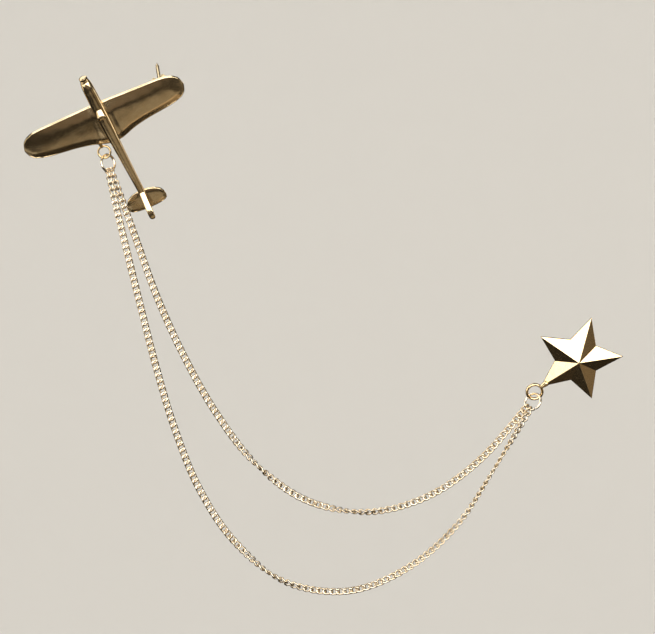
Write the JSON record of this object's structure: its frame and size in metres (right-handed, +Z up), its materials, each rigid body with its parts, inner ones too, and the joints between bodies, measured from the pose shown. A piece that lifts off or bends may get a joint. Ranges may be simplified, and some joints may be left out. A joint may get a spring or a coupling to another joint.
{
  "type": "lapel chain",
  "caption": "Lapel chain: a cast aeroplane brooch and a ridged star brooch in pale gilt metal, joined by curb chains on jump rings.",
  "frame": {"origin": "where the aeroplane's pin enters the cloth, which is also where it holds the whole piece", "axes": "+X from the aeroplane to the star, +Z up, +Y into the wearer's cloth, with the brooches facing -Y"},
  "size_m": [0.1442, 0.023, 0.1288],
  "materials": {
    "gilt_casting": "polished pale gilt zinc casting, worn to a warm sheen",
    "gilt_wire": "bright pale gilt wire",
    "pin_steel": "gilt steel findings"
  },
  "bodies": {
    "root": {"aeroplane": "gilt_casting", "aeroplane_pin": "pin_steel", "aeroplane_pin_nut": "pin_steel", "star": "gilt_casting", "star_pin": "pin_steel", "star_pin_nut": "pin_steel", "aeroplane_jump_ring": "gilt_wire", "star_jump_ring": "gilt_wire", "chain_upper": "gilt_wire", "chain_lower": "gilt_wire"}
  },
  "joints": []
}
